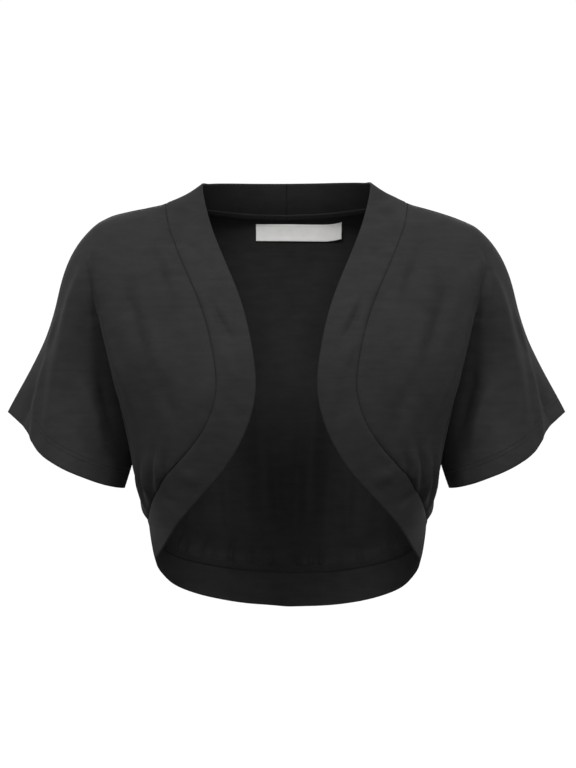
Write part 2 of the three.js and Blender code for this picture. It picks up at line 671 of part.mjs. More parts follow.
// Height of the soft ridges and troughs at a point
function foldHeight(side, point) {
  let height = 0;
  for (const fold of FOLDS.filter((one) => one.side === side.name)) {
    const from = vector(fold.fromX, fold.fromY, fold.fromZ);
    const line = vector(fold.toX, fold.toY, fold.toZ).sub(from);
    const share = clamp(point.clone().sub(from).dot(line) / line.lengthSq());
    const distance = point.distanceTo(from.addScaledVector(line, share));
    const fade = Math.sin(Math.PI * mix(FOLD_END, 1 - FOLD_END, share));
    height += fold.height * fade * Math.exp(-((distance / fold.spread) ** 2));
  }
  return height;
}

// Fullness over the hem seam, at a distance away from it
const puffHeight = (away) => PUFF_HEIGHT * (away / PUFF_REACH) * Math.exp(1 - away / PUFF_REACH);

// Height of the gathers and of the fullness at a point. The seam's points are in order, and
// lengths gives each one's distance along it from the place that the gathers are told from.
function gatherHeight(gathers, seam, lengths, point) {
  let nearest = 0;
  seam.forEach((one, i) => {
    if (one.distanceTo(point) < seam[nearest].distanceTo(point)) {
      nearest = i;
    }
  });
  const other = nearest > 0 ? nearest - 1 : nearest + 1;
  const line = seam[other].clone().sub(seam[nearest]);
  const share = clamp(point.clone().sub(seam[nearest]).dot(line) / line.lengthSq());
  const away = point.distanceTo(seam[nearest].clone().addScaledVector(line, share));
  const along = mix(lengths[nearest], lengths[other], share);
  let height = puffHeight(away) * clamp((PUFF_FROM - along) / (PUFF_FROM - PUFF_FULL));
  for (const gather of gathers) {
    const across = Math.exp(-(((along - gather.along) / gather.spread) ** 2));
    const lengthwise = clamp(1 - away / gather.length) * clamp(away / GATHER_START);
    height += gather.height * across * lengthwise;
  }
  return height;
}

// A panel's wall, doubled where the sleeve hem is turned up. The back has a hem at either end.
function panelThickness(points, hems) {
  return (i, j) => {
    const reach = Math.min(...hems.map((hem) => points[i][j].distanceTo(points[i][hem])));
    return mix(SLEEVE_HEM_WALL, PANEL_WALL, clamp((reach - SLEEVE_HEM_DEPTH) / HEM_STEP));
  };
}

// Points evenly along the curve that a function gives from 0 to 1
function evenLine(pointAt, faces) {
  const fine = evenlyTo(0, 1, SEAM_SAMPLES).map(pointAt);
  const lengths = distances(fine);
  return evenlyTo(0, lengths[SEAM_SAMPLES], faces).map((length) => {
    const i = Math.max(lengths.findIndex((one) => one >= length - LENGTH_TOLERANCE), 1);
    const share = clamp((length - lengths[i - 1]) / (lengths[i] - lengths[i - 1]));
    return fine[i - 1].clone().lerp(fine[i], share);
  });
}

// The shoulder and overarm seam, and the side and underarm seam, with the same points for the
// front and the back
function topSeam() {
  const sleeveTop = (share) => linePoint(overarm, share * (OVERARM.length - 1));
  return [
    ...evenLine((share) => linePoint(shoulder, share * (SHOULDER.length - 1)), BODY_COLUMNS),
    ...evenLine(sleeveTop, SLEEVE_COLUMNS).slice(1),
  ];
}

function bottomSeam() {
  const side = evenLine((share) => sideEdge(SIDES.front, share).point, BODY_COLUMNS);
  side.forEach((point) => point.setX(point.x + puffHeight(point.distanceTo(side[0]))));
  return [...side, ...evenLine((share) => sleevePoint(SIDES.front, share, 1), SLEEVE_COLUMNS).slice(1)];
}

// Puts a row of the front and one of the back on the seam between them, with their edges
// parallel and half a gap to either side
function closeSeam(frontGrid, backGrid, frontRow, backRow, seam) {
  seam.forEach((point, k) => {
    const j = BACK_MIDDLE_COLUMNS + k;
    const normal = frontGrid.normals[frontRow][k].clone().add(backGrid.normals[backRow][j]);
    normal.setY(0).normalize();
    frontGrid.points[frontRow][k].copy(point).setY(point.y - SEAM_GAP / 2);
    frontGrid.normals[frontRow][k].copy(normal);
    backGrid.points[backRow][j].copy(point).setY(point.y + SEAM_GAP / 2);
    backGrid.normals[backRow][j].copy(normal);
  });
}

function trimToBand(grid, i, j, frame) {
  grid.points[i][j].copy(frame.point).addScaledVector(frame.across, SEAM_GAP / 2);
  grid.normals[i][j].copy(frame.normal);
}

const FRONT_SHARES = [
  ...evenly(0, FRONT_GATHERED_FROM, FRONT_UPPER_ROWS),
  ...evenlyTo(FRONT_GATHERED_FROM, 1, FRONT_GATHERED_ROWS),
];
const BACK_SHARES = [
  ...evenly(0, 1, BACK_UPPER_ROWS).map((share) => BACK_GATHERED_FROM * share ** TOP_CLOSENESS),
  ...evenlyTo(BACK_GATHERED_FROM, 1, BACK_GATHERED_ROWS),
];

// The front on the wearer's left, from the band to the sleeve hem
function frontPanel() {
  const points = FRONT_SHARES.map((share) => panelRow(SIDES.front, share));
  const normals = gridNormals(points);
  const seam = points.map((row) => row[0].clone());
  const lengths = distances(seam).map((length, i, all) => all[all.length - 1] - length);
  points.forEach((row, i) => row.forEach((point, j) => {
    const height = foldHeight(SIDES.front, point) + gatherHeight(FRONT_GATHERS, seam, lengths, point);
    point.addScaledVector(normals[i][j], height);
  }));
  return { points, normals };
}

// Places from one row of a table to another that are evenly far apart along its seam
function evenPlaces(table, from, to, count) {
  const fine = evenlyTo(from, to, TABLE_SAMPLES);
  const lengths = distances(fine.map((at) => seamPoint(table, at)));
  return evenlyTo(0, lengths[TABLE_SAMPLES], count)
    .map((length) => fine[lengths.findIndex((one) => one >= length - LENGTH_TOLERANCE)]);
}

const NECK_PLACES = evenPlaces(band, 0, SHOULDER_ROW, BACK_MIDDLE_COLUMNS);
const HEM_PLACES = evenPlaces(backHem, HEM_ROWS, 0, BACK_MIDDLE_COLUMNS);

// The half of the back on the wearer's left, from the middle to the sleeve hem
function backHalf() {
  const points = BACK_SHARES.map((share) => panelRow(SIDES.back, share));
  const normals = gridNormals(points);
  const seam = points[points.length - 1].slice(0, BACK_MIDDLE_COLUMNS + 1).map((point) => point.clone());
  const lengths = distances(seam);
  points.forEach((row, i) => row.forEach((point, j) => {
    const height = foldHeight(SIDES.back, point) + gatherHeight(BACK_GATHERS, seam, lengths, point);
    point.addScaledVector(normals[i][j], height);
  }));
  return { points, normals };
}

// Fits the edges of a front and of half a back to each other, to the bands and to the middle.
// At the shoulder the neck seam is still the back's, so its frame is taken just before it.
const JUST_BEFORE = 1e-3;

function fitPanels(frontGrid, backGrid) {
  const frontLast = frontGrid.points.length - 1;
  const backLast = backGrid.points.length - 1;
  closeSeam(frontGrid, backGrid, 0, 0, topSeam());
  closeSeam(frontGrid, backGrid, frontLast, backLast, bottomSeam());
  FRONT_SHARES.forEach((share, i) => trimToBand(frontGrid, i, 0, bandFrame(frontSeamRow(share))));
  for (let j = 0; j <= BACK_MIDDLE_COLUMNS; j += 1) {
    trimToBand(backGrid, 0, j, bandFrame(Math.min(NECK_PLACES[j], SHOULDER_ROW - JUST_BEFORE)));
    trimToBand(backGrid, backLast, j, hemFrame(HEM_PLACES[j]));
  }
  for (const row of [frontGrid.points[0], frontGrid.points[frontLast]]) {
    row[0].y -= SEAM_GAP / 2;
  }
  for (const row of [backGrid.points[0], backGrid.points[backLast]]) {
    row[BACK_MIDDLE_COLUMNS].y += SEAM_GAP / 2;
  }
  backGrid.points.forEach((row, i) => {
    row[0].setX(0);
    backGrid.normals[i][0].setX(0).normalize();
  });
}

const mirrorRow = (row) => row.map((item) => vector(-item.x, item.y, item.z));
const mirrored = (grid) => ({
  points: grid.points.map(mirrorRow),
  normals: grid.normals.map(mirrorRow),
});

// A grid and its mirror image, joined in the middle
function bothHalves({ points, normals }) {
  const join = (rows) => rows.map((row) => [...mirrorRow(row).reverse(), ...row.slice(1)]);
  return { points: join(points), normals: join(normals) };
}

// Strip of doubled cloth from a seam to a folded edge, crowned across its width
function bandStrip(table, frame, places) {
  const points = places.map((at) => {
    const { point, across, normal } = frame(at);
    const seam = point.clone().addScaledVector(across, -SEAM_GAP / 2);
    const edge = edgePoint(table, at);
    return evenlyTo(0, 1, BAND_COLUMNS).map((share) => seam.clone().lerp(edge, share)
      .addScaledVector(normal, table('crown', at) * Math.sin(Math.PI * share)));
  });
  const normals = gridNormals(points);
  places.forEach((at, i) => normals[i][0].copy(frame(at).normal));
  return { points, normals };
}

function frontBand() {
  const places = [...NECK_PLACES.slice(0, -1), ...FRONT_SHARES.map(frontSeamRow)];
  const strip = bandStrip(band, bandFrame, places);
  const last = places.length - 1;
  for (let j = 0; j <= BAND_COLUMNS; j += 1) {
    strip.points[0][j].setX(SEAM_GAP / 2);
    strip.normals[0][j].setX(0).normalize();
    strip.points[last][j].y = SIDE_POINT.y - SEAM_GAP / 2;
    strip.normals[last][j].setY(0).normalize();
  }
  return strip;
}

function backHemBand() {
  const strip = bandStrip(backHem, hemFrame, HEM_PLACES);
  const last = strip.points.length - 1;
  for (let j = 0; j <= BAND_COLUMNS; j += 1) {
    strip.points[0][j].setX(0);
    strip.normals[0][j].setX(0).normalize();
    strip.points[last][j].y = SIDE_POINT.y + SEAM_GAP / 2;
    strip.normals[last][j].setY(0).normalize();
  }
  const turned = (rows) => rows[0].map((unused, j) => rows.map((row) => row[j]));
  return bothHalves({ points: turned(strip.points), normals: turned(strip.normals) });
}

// Flat label sewn just inside the back, under the middle of the neck seam
function neckLabel(back) {
  const faces = [];
  for (let i = 0; i < LABEL_SEARCH_ROWS; i += 1) {
    for (let j = 0; j < back.points[i].length - 1; j += 1) {
      faces.push([[i, j], [i + 1, j], [i + 1, j + 1]]);
      faces.push([[i, j], [i + 1, j + 1], [i, j + 1]]);
    }
  }
  const inside = back.points.map((row, i) => row.map((point, j) => point.clone()
    .addScaledVector(back.normals[i][j], -PANEL_WALL / 2)));
  // The inner wall's place and direction behind a point, read from the face that holds it
  const depth = (x, z) => {
    let nearest = { away: Infinity };
    for (const face of faces) {
      const [a, b, c] = face.map(([i, j]) => inside[i][j]);
      const whole = (b.x - a.x) * (c.z - a.z) - (c.x - a.x) * (b.z - a.z);
      const second = ((x - a.x) * (c.z - a.z) - (c.x - a.x) * (z - a.z)) / whole;
      const third = ((b.x - a.x) * (z - a.z) - (x - a.x) * (b.z - a.z)) / whole;
      const away = Math.max(-second, -third, second + third - 1);
      if (away < nearest.away) {
        const [normalA, normalB, normalC] = face.map(([i, j]) => back.normals[i][j]);
        const normal = normalA.clone().multiplyScalar(1 - second - third)
          .addScaledVector(normalB, second).addScaledVector(normalC, third).normalize();
        nearest = { away, y: a.y + second * (b.y - a.y) + third * (c.y - a.y), normal };
      }
    }
    return nearest;
  };
  const points = [];
  const normals = [];
  const inward = LABEL_GAP + LABEL_WALL / 2;
  for (const down of evenlyTo(0, 1, LABEL_ROWS)) {
    const z = LABEL_CENTRE_Z + LABEL_HEIGHT * (0.5 - down);
    const places = evenlyTo(0, 1, LABEL_COLUMNS).map((out) => {
      const x = LABEL_CENTRE_X + LABEL_WIDTH * (out - 0.5);
      return { x, ...depth(x, z) };
    });
    points.push(places.map(({ x, y, normal }) => vector(x, y, z).addScaledVector(normal, -inward)));
    normals.push(places.map(({ normal }) => normal.clone()));
  }
  return { points, normals };
}

const bolero = new THREE.Group();

function add(name, grid, thickness, finish) {
  const geometry = wall(grid.points, grid.normals, thickness);
  const mesh = new THREE.Mesh(geometry, new THREE.MeshStandardMaterial(finish));
  mesh.name = name;
  bolero.add(mesh);
}

const front = frontPanel();
const halfBack = backHalf();
fitPanels(front, halfBack);
const back = bothHalves(halfBack);
const strip = frontBand();
const frontWall = panelThickness(front.points, [front.points[0].length - 1]);
const backWall = panelThickness(back.points, [0, back.points[0].length - 1]);

add('front_left', front, frontWall, JERSEY);
add('front_right', mirrored(front), frontWall, JERSEY);
add('back', back, backWall, JERSEY);
add('band_left', strip, () => BAND_WALL, JERSEY);
add('band_right', mirrored(strip), () => BAND_WALL, JERSEY);
add('band_back_hem', backHemBand(), () => BAND_WALL, JERSEY);
add('neck_label', neckLabel(back), () => LABEL_WALL, SATIN);

export default bolero;
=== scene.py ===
import math
from collections import namedtuple

import bpy
import numpy as np
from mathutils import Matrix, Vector
from mathutils.bvhtree import BVHTree
from mathutils.kdtree import KDTree


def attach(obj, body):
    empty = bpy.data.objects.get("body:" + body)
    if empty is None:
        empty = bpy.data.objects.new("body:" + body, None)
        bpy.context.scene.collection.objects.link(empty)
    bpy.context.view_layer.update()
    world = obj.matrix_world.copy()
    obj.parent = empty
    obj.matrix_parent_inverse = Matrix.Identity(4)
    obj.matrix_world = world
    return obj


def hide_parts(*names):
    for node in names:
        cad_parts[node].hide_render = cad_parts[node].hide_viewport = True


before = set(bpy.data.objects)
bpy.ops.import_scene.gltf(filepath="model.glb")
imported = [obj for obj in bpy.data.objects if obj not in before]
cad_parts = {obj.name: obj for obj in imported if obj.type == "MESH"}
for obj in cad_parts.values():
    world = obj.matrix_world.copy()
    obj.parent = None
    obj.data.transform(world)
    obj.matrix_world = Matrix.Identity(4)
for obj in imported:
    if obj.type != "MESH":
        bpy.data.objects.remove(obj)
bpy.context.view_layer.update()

# A short-sleeved bolero jacket in fine dark jersey, filled out as if worn, in metres.
# Each CAD wall is read as one sheet of cloth. The sheet is smoothed and creased and closed
# again as a thin shell, and the sewing is laid on it.

MM = 0.001
TINY = 1e-12

# The camera stands in front, level with the lower chest
CAMERA_PLACE = (0.0014, -2.6, -0.172)
LENS = 128.3
SENSOR_WIDTH = 36.0
FLOOR_HEIGHT = -1.9
FLOOR_REACH = 120.0
FLOOR_COLOUR = (0.98, 0.98, 0.98)
FLOOR_ROUGHNESS = 0.9

# Reading a CAD wall: points closer than the weld are one, and no edge of a wall's face is as
# short as the longest one across its thickness
WELD = 0.01 * MM
LONGEST_ACROSS = 2.05 * MM
FORM_MIDDLE = np.array([0.0, 0.0, -0.15])
CORNER_TURN = math.radians(38)
REFINEMENTS = 2

# Sewing
ALLOWANCE_WIDTH = 5.5 * MM
ALLOWANCE_THICKNESS = 1.1 * MM
ALLOWANCE_LIFT = 0.15 * MM
ALLOWANCE_START = -1.2 * MM
SEAM_GAP = 0.3 * MM
SEAM_CORE = 0.4 * MM
SEAM_CORE_SUNK = 0.15 * MM
SEAM_CORE_STEP = 2.5 * MM
ALLOWANCE_ROWS = 5
OVERLOCK_FROM = 0.6 * MM
OVERLOCK_EDGE = 0.2 * MM
THREAD_SUNK = 0.4
SEAM_DIP = 0.7 * MM
SEAM_DIP_BEHIND = 30 * MM
OVERLOCK_PITCH = 1.9 * MM
OVERLOCK_THREAD = 0.22 * MM
HEM_STITCH = 2.6 * MM
HEM_STITCH_GAP = 0.7 * MM
HEM_THREAD = 0.24 * MM
HEM_THREAD_PROUD = 0.2
HEM_ROWS = (15.0 * MM, 19.0 * MM)
LABEL_STITCH = 1.6 * MM
LABEL_STITCH_INSET = 1.4 * MM
LABEL_THREAD = 0.12 * MM
LABEL_THREAD_PROUD = 0.3
LABEL_STITCH_SHARE = 0.7

# Soft creases, in millimetres, on the wearer's left; the right has them a little differently
Crease = namedtuple("Crease", "piece x1 y1 z1 x2 y2 z2 spread height")
CREASES = [
    # the sleeve's outer edge, where the flare turns back, and the folds under the arm
    Crease("front", 216, -14, -100, 228, -6, -140, 6, 2.4),
    Crease("front", 228, -8, -135, 243, -26, -245, 5, 3.8),
    Crease("front", 244, -4, -168, 252, -4, -214, 6, -2.9),
    Crease("front", 186, -28, -46, 179, -38, -114, 2.6, -2.7),
    Crease("front", 191, -38, -74, 178, -40, -122, 3.5, 2.3),
    Crease("front", 186, -44, -92, 175, -40, -124, 2.6, -2.1),
    Crease("front", 190, -38, -172, 172, -32, -232, 6, 3.5),
    Crease("front", 178, -33, -150, 163, -20, -218, 6, -3.2),
    Crease("front", 206, -40, -126, 201, -42, -222, 8, -2.4),
    Crease("front", 222, -30, -150, 219, -38, -232, 7, 1.7),
    # the body, from the shoulder towards the lower end of the band
    Crease("front", 182, -40, -48, 174, -52, -92, 4, 2.0),
    Crease("front", 151, -66, -78, 125, -101, -154, 8, -4.6),
    Crease("front", 134, -90, -104, 112, -107, -178, 8, 4.4),
    Crease("front", 163, -54, -100, 141, -84, -206, 8, 3.2),
    Crease("front", 122, -101, -138, 102, -111, -216, 8, -3.4),
    Crease("front", 116, -60, -40, 98, -92, -96, 5, 2.7),
    Crease("front", 128, -54, -36, 110, -86, -90, 5, -2.7),
    Crease("front", 160, -42, -180, 148, -50, -236, 5, -2.1),
    # drawn up over the lower end of the band, near the side
    Crease("front", 120, -90, -224, 127, -53, -281, 3.6, -3.8),
    Crease("front", 114, -90, -232, 121, -62, -276, 3.4, 2.7),
    Crease("front", 109, -95, -228, 116, -72, -273, 3.2, -2.4),
    Crease("front", 128, -78, -232, 131, -44, -284, 3.4, 2.7),
    Crease("front", 136, -68, -238, 135, -30, -287, 4, -3.2),
    Crease("front", 100, -101, -234, 107, -84, -262, 3.4, 1.7),
    Crease("front", 141, -52, -246, 137, -18, -292, 3.6, 2.2),
    # the back: from the arms inwards, and down to the hem band
    Crease("back", 176, 50, -70, 150, 80, -124, 7, 3.3),
    Crease("back", 166, 60, -110, 138, 88, -172, 8, -3.3),
    Crease("back", 96, 96, -90, 60, 100, -150, 14, 2.1),
    Crease("back", 152, 62, -196, 128, 84, -262, 10, 3.3),
    Crease("back", 30, 101, -170, 19, 101, -335, 8, -3.6),
    Crease("back", 14, 101, -210, 6, 101, -338, 6, 2.7),
    Crease("back", 46, 100, -220, 38, 100, -335, 8, 3.3),
    Crease("back", 88, 92, -230, 78, 92, -328, 8, -3.6),
    Crease("back", 62, 97, -240, 58, 96, -334, 6, -3.0),
    Crease("back", 104, 84, -240, 98, 82, -326, 7, 2.7),
    Crease("back", 212, 54, -130, 232, 58, -206, 8, 3.2),
    Crease("back", 192, 50, -170, 200, 58, -236, 7, -3.0),
    # the band, dragged a little towards the neck and the bust
    Crease("band", 118, -22, -18, 106, -44, -46, 4, 2.5),
    Crease("band", 108, -30, -20, 96, -52, -50, 4.5, -2.0),
    Crease("band", 74, -89, -92, 52, -108, -130, 3.5, -2.6),
    Crease("band", 67, -91, -92, 47, -108, -124, 3.5, 2.6),
    Crease("band", 82, -82, -82, 62, -102, -122, 4, 1.8),
    Crease("band", 96, -42, -30, 78, -66, -56, 5, -2.3),
    Crease("band", 62, -104, -132, 46, -112, -168, 5, 2.2),
    Crease("band", 60, -108, -176, 40, -116, -206, 6, -1.6),
    Crease("band", 98, -84, -250, 78, -98, -262, 6, 2.2),
    Crease("band", 104, 6, 6, 92, -22, -8, 5, 1.6),
    Crease("band", 112, -12, -8, 84, -28, -14, 5, -1.4),
    Crease("band", 118, -62, -268, 100, -74, -284, 5, -1.8),
]
CREASE_END = 0.06
CREASE_POINTS = 7
CREASE_REACH = 16 * MM
CREASE_SPREADS = 5
RIGHT_CREASE_SIZE = 0.85
RIGHT_CREASE_START = 0.08

# Small gathers of the back just over its hem band, in millimetres, by distance from the middle
# of the back along the seam. The two sides of the jacket aren't alike.
Gather = namedtuple("Gather", "side along length spread height")
GATHERS = [
    Gather(1, 11, 22, 2.6, 3.4),
    Gather(1, 23, 15, 2.2, 3.0),
    Gather(1, 33, 26, 2.8, 3.5),
    Gather(1, 52, 14, 2.4, 2.6),
    Gather(1, 72, 24, 3.0, 3.5),
    Gather(1, 93, 18, 2.6, 3.0),
    Gather(1, 118, 22, 2.8, 3.4),
    Gather(1, 141, 15, 2.6, 2.6),
    Gather(-1, 16, 16, 2.4, 3.0),
    Gather(-1, 38, 20, 2.6, 3.4),
    Gather(-1, 57, 27, 3.0, 4.0),
    Gather(-1, 74, 16, 2.4, 3.0),
    Gather(-1, 84, 22, 2.6, 3.4),
    Gather(-1, 101, 15, 2.4, 3.0),
    Gather(-1, 113, 24, 2.8, 3.5),
    Gather(-1, 136, 18, 2.6, 3.0),
]
GATHER_START = 2.0 * MM
GATHER_REACH = 60 * MM

# How the worn jacket settles out of true, in millimetres, with depths below the origin
DrawnIn = namedtuple("DrawnIn", "below inward")
DRAWN_IN = [
    DrawnIn(250, 0.0),
    DrawnIn(276, 2.2),
    DrawnIn(297, 3.0),
    DrawnIn(306, 4.0),
    DrawnIn(318, 2.8),
    DrawnIn(334, 0.8),
    DrawnIn(345, 0.0),
]
DRAWN_FROM = 85.0
DRAWN_LENGTH = 40.0
LEAN = 1.3
LEAN_FROM = 240.0
LEAN_LENGTH = 90.0
SHOULDER_DEPTH = 110.0
SHOULDER_LENGTH = 80.0
ShoulderDrop = namedtuple("ShoulderDrop", "x down")
SHOULDERS = [
    ShoulderDrop(-190, -1.4),
    ShoulderDrop(-166, -1.6),
    ShoulderDrop(-134, 0.5),
    ShoulderDrop(-90, 0.8),
    ShoulderDrop(0, 0.0),
    ShoulderDrop(100, -0.4),
    ShoulderDrop(134, 1.2),
    ShoulderDrop(166, 2.4),
    ShoulderDrop(190, 1.6),
]
HEM_DROP = 2.2
HEM_DROP_FROM = 315.0
HEM_DROP_LENGTH = 60.0
HEM_DROP_REACH = 70.0
HEM_RISE_SHARE = -0.3

Cloth = namedtuple("Cloth", "name points normals thickness triangles corners tree")


def triangle_normals(points, triangles):
    a, b, c = (points[triangles[:, k]] for k in range(3))
    return np.cross(b - a, c - a)


def unit(vectors):
    return vectors / np.maximum(np.linalg.norm(vectors, axis=-1, keepdims=True), TINY)


def point_normals(points, triangles):
    """Smooth directions at the points, weighted by the area of the triangles round them."""
    flat = triangle_normals(points, triangles)
    normals = np.zeros_like(points)
    for k in range(3):
        np.add.at(normals, triangles[:, k], flat)
    return unit(normals)


def connected(triangles, count):
    """The groups of triangles that hang together."""
    label = np.arange(count)
    settled = False
    while not settled:
        before = label.copy()
        lowest = label[triangles].min(axis=1)
        np.minimum.at(label, triangles.ravel(), np.repeat(lowest, 3))
        settled = np.array_equal(before, label)
    of_triangle = label[triangles[:, 0]]
    return [triangles[of_triangle == one] for one in np.unique(of_triangle)]


def facing_out(points, triangles):
    """How much of a sheet faces away from the middle of the body."""
    centres = points[triangles].mean(axis=1)
    return (triangle_normals(points, triangles) * (centres - FORM_MIDDLE)).sum()


def read_wall(node):
    """Middle points, thickness and outward triangles of a CAD wall."""
    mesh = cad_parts[node].data
    mesh.calc_loop_triangles()
    places = np.zeros(3 * len(mesh.vertices))
    mesh.vertices.foreach_get("co", places)
    places = places.reshape(-1, 3)
    grid = np.round(places / WELD).astype(np.int64)
    first, welded = np.unique(grid, axis=0, return_index=True, return_inverse=True)[1:]
    points = places[first]
    triangles = welded.ravel()[np.array([t.vertices for t in mesh.loop_triangles])]
    lengths = np.linalg.norm(points[triangles] - points[np.roll(triangles, -1, axis=1)], axis=2)
    faces = triangles[lengths.min(axis=1) > LONGEST_ACROSS]
    sheets = sorted(connected(faces, len(points)), key=lambda some: -facing_out(points, some))
    outer, inner = sheets[0], sheets[-1]
    inner_points = points[np.unique(inner)]
    tree = KDTree(len(inner_points))
    for i, point in enumerate(inner_points):
        tree.insert(point, i)
    tree.balance()
    outer_ids = np.unique(outer)
    opposite = inner_points[[tree.find(points[i])[1] for i in outer_ids]]
    middle = (points[outer_ids] + opposite) / 2
    thickness = np.linalg.norm(points[outer_ids] - opposite, axis=1)
    return middle, thickness, np.searchsorted(outer_ids, outer)


def rim(triangles):
    """The boundary of a sheet, as one ordered loop of point numbers with the sheet on its left."""
    ends = triangles[:, [0, 1, 1, 2, 2, 0]].reshape(-1, 2).tolist()
    every = {(a, b) for a, b in ends}
    follow = {a: b for a, b in every if (b, a) not in every}
    loop = [min(follow)]
    while follow[loop[-1]] != loop[0]:
        loop.append(follow[loop[-1]])
    return np.array(loop)


def rim_corners(points, triangles):
    loop = rim(triangles)
    before = unit(points[loop] - points[np.roll(loop, 1)])
    after = unit(points[np.roll(loop, -1)] - points[loop])
    turn = np.arccos(np.clip((before * after).sum(axis=1), -1, 1))
    return set(loop[turn > CORNER_TURN].tolist())


def refine(values, triangles, corners):
    """One round of Loop subdivision. The rim keeps to its own curve, and corners stay."""
    count = len(values)
    ends = np.sort(triangles[:, [0, 1, 1, 2, 2, 0]].reshape(-1, 2), axis=1)
    edges, of_side, uses = np.unique(ends, axis=0, return_inverse=True, return_counts=True)
    of_side = of_side.ravel()
    across = np.zeros((len(edges), values.shape[1]))
    np.add.at(across, of_side, values[triangles[:, [2, 0, 1]].ravel()])
    both = values[edges[:, 0]] + values[edges[:, 1]]
    on_rim = uses == 1
    middles = np.where(on_rim[:, None], both / 2, both * 3 / 8 + across / 8)

    def around(some):
        total = np.zeros_like(values)
        np.add.at(total, some[:, 0], values[some[:, 1]])
        np.add.at(total, some[:, 1], values[some[:, 0]])
        return total

    valence = np.bincount(edges.ravel(), minlength=count)[:, None]
    share = np.where(valence == 3, 3 / 16, 3 / (8 * np.maximum(valence, 1)))
    moved = values * (1 - valence * share) + share * around(edges)
    rim_points = np.unique(edges[on_rim])
    moved[rim_points] = (values * 3 / 4 + around(edges[on_rim]) / 8)[rim_points]
    kept = sorted(corners)
    moved[kept] = values[kept]
    a, b, c = triangles.T
    ab, bc, ca = (count + of_side.reshape(-1, 3)).T
    quarters = [(a, ab, ca), (ab, b, bc), (ca, bc, c), (ab, bc, ca)]
    return np.vstack([moved, middles]), np.concatenate([np.stack(q, axis=1) for q in quarters])


def sides(points, triangles, corners):
    """The stretches of the rim between corners, as arrays of point numbers."""
    loop = rim(triangles).tolist()
    start = next(i for i, one in enumerate(loop) if one in corners)
    loop = loop[start:] + loop[:start + 1]
    cuts = [i for i, one in enumerate(loop) if one in corners]
    return [np.array(loop[a:b + 1]) for a, b in zip(cuts, cuts[1:])]


def side_near(cloth, place):
    """The stretch of a cloth's rim whose middle is nearest to a place in millimetres."""
    place = np.array(place) * MM
    every = sides(cloth.points, cloth.triangles, cloth.corners)
    return min(every, key=lambda one: np.linalg.norm(cloth.points[one[len(one) // 2]] - place))


def side_distance(points, line):
    """Distance of each point from a line of points, and how far along the line it lies."""
    steps = np.diff(line, axis=0)
    lengths = np.linalg.norm(steps, axis=1)
    starts = np.concatenate([[0], np.cumsum(lengths)[:-1]])
    share = ((points[:, None] - line[None, :-1]) * steps).sum(axis=2)
    share = share / np.maximum(lengths ** 2, TINY)
    share = np.clip(share, 0, 1)
    feet = line[None, :-1] + share[..., None] * steps
    away = np.linalg.norm(points[:, None] - feet, axis=2)
    nearest = away.argmin(axis=1)
    rows = np.arange(len(points))
    return away[rows, nearest], starts[nearest] + share[rows, nearest] * lengths[nearest]


def crease_height(piece, points):
    """Height of the soft ridges and troughs, which are shorter and shallower on one side. Each
    follows the cloth between its two ends."""
    height = np.zeros(len(points))
    tree = KDTree(len(points))
    for i, point in enumerate(points):
        tree.insert(point, i)
    tree.balance()
    for crease in (one for one in CREASES if one.piece == piece):
        for side, size, later in ((1, 1.0, 0.0), (-1, RIGHT_CREASE_SIZE, RIGHT_CREASE_START)):
            start = np.array([side * crease.x1, crease.y1, crease.z1]) * MM
            end = np.array([side * crease.x2, crease.y2, crease.z2]) * MM
            start = start + (end - start) * later
            found = [tree.find(start + (end - start) * t) for t in np.linspace(0, 1, CREASE_POINTS)]
            if max(one[2] for one in found) > CREASE_REACH:
                continue
            line = np.array([one[0] for one in found])
            length = np.linalg.norm(end - start)
            reach = length / 2 + CREASE_SPREADS * crease.spread * MM
            close = np.linalg.norm(points - line.mean(axis=0), axis=1) < reach
            away, along = side_distance(points[close], line)
            share = along / np.linalg.norm(np.diff(line, axis=0), axis=1).sum()
            fade = np.sin(math.pi * (CREASE_END + (1 - 2 * CREASE_END) * share))
            across = np.exp(-(away / crease.spread / MM) ** 2)
            height[close] += crease.height * MM * size * fade * across
    return height


def gather_height(side, points, seam):
    """Height of the small gathers over a hem seam, whose points run away from where they start."""
    height = np.zeros(len(points))
    close = np.linalg.norm(points[:, None] - seam[None, ::4], axis=2).min(axis=1) < GATHER_REACH
    away, along = side_distance(points[close], seam)
    for gather in (one for one in GATHERS if one.side == side):
        across = np.exp(-((along / MM - gather.along) / gather.spread) ** 2)
        lengthwise = np.clip(1 - away / MM / gather.length, 0, 1) * np.clip(away / GATHER_START, 0, 1)
        height[close] += gather.height * MM * across * lengthwise
    return height


def eased(share):
    """From 0 to 1 with soft ends."""
    share = np.clip(share, 0, 1)
    return share * share * (3 - 2 * share)


def settled(points):
    """The jacket hangs a little unevenly: its waist is drawn in at the sides, its lower part
    lies a little to the wearer's left, and the left shoulder and hem are a little lower."""
    x, y, z = (points / MM).T
    widths = np.interp(-z, [one.below for one in DRAWN_IN], [one.inward for one in DRAWN_IN])
    low = eased((-z - LEAN_FROM) / LEAN_LENGTH)
    top = eased((z + SHOULDER_DEPTH) / SHOULDER_LENGTH)
    hem = eased((-z - HEM_DROP_FROM) / HEM_DROP_LENGTH)
    down = np.interp(x, [one.x for one in SHOULDERS], [one.down for one in SHOULDERS])
    moved = np.stack([
        x - np.sign(x) * widths * eased((np.abs(x) - DRAWN_FROM) / DRAWN_LENGTH) + LEAN * low,
        y,
        z - down * top - HEM_DROP * np.clip(x / HEM_DROP_REACH, HEM_RISE_SHARE, 1) * hem,
    ], axis=1)
    return moved * MM


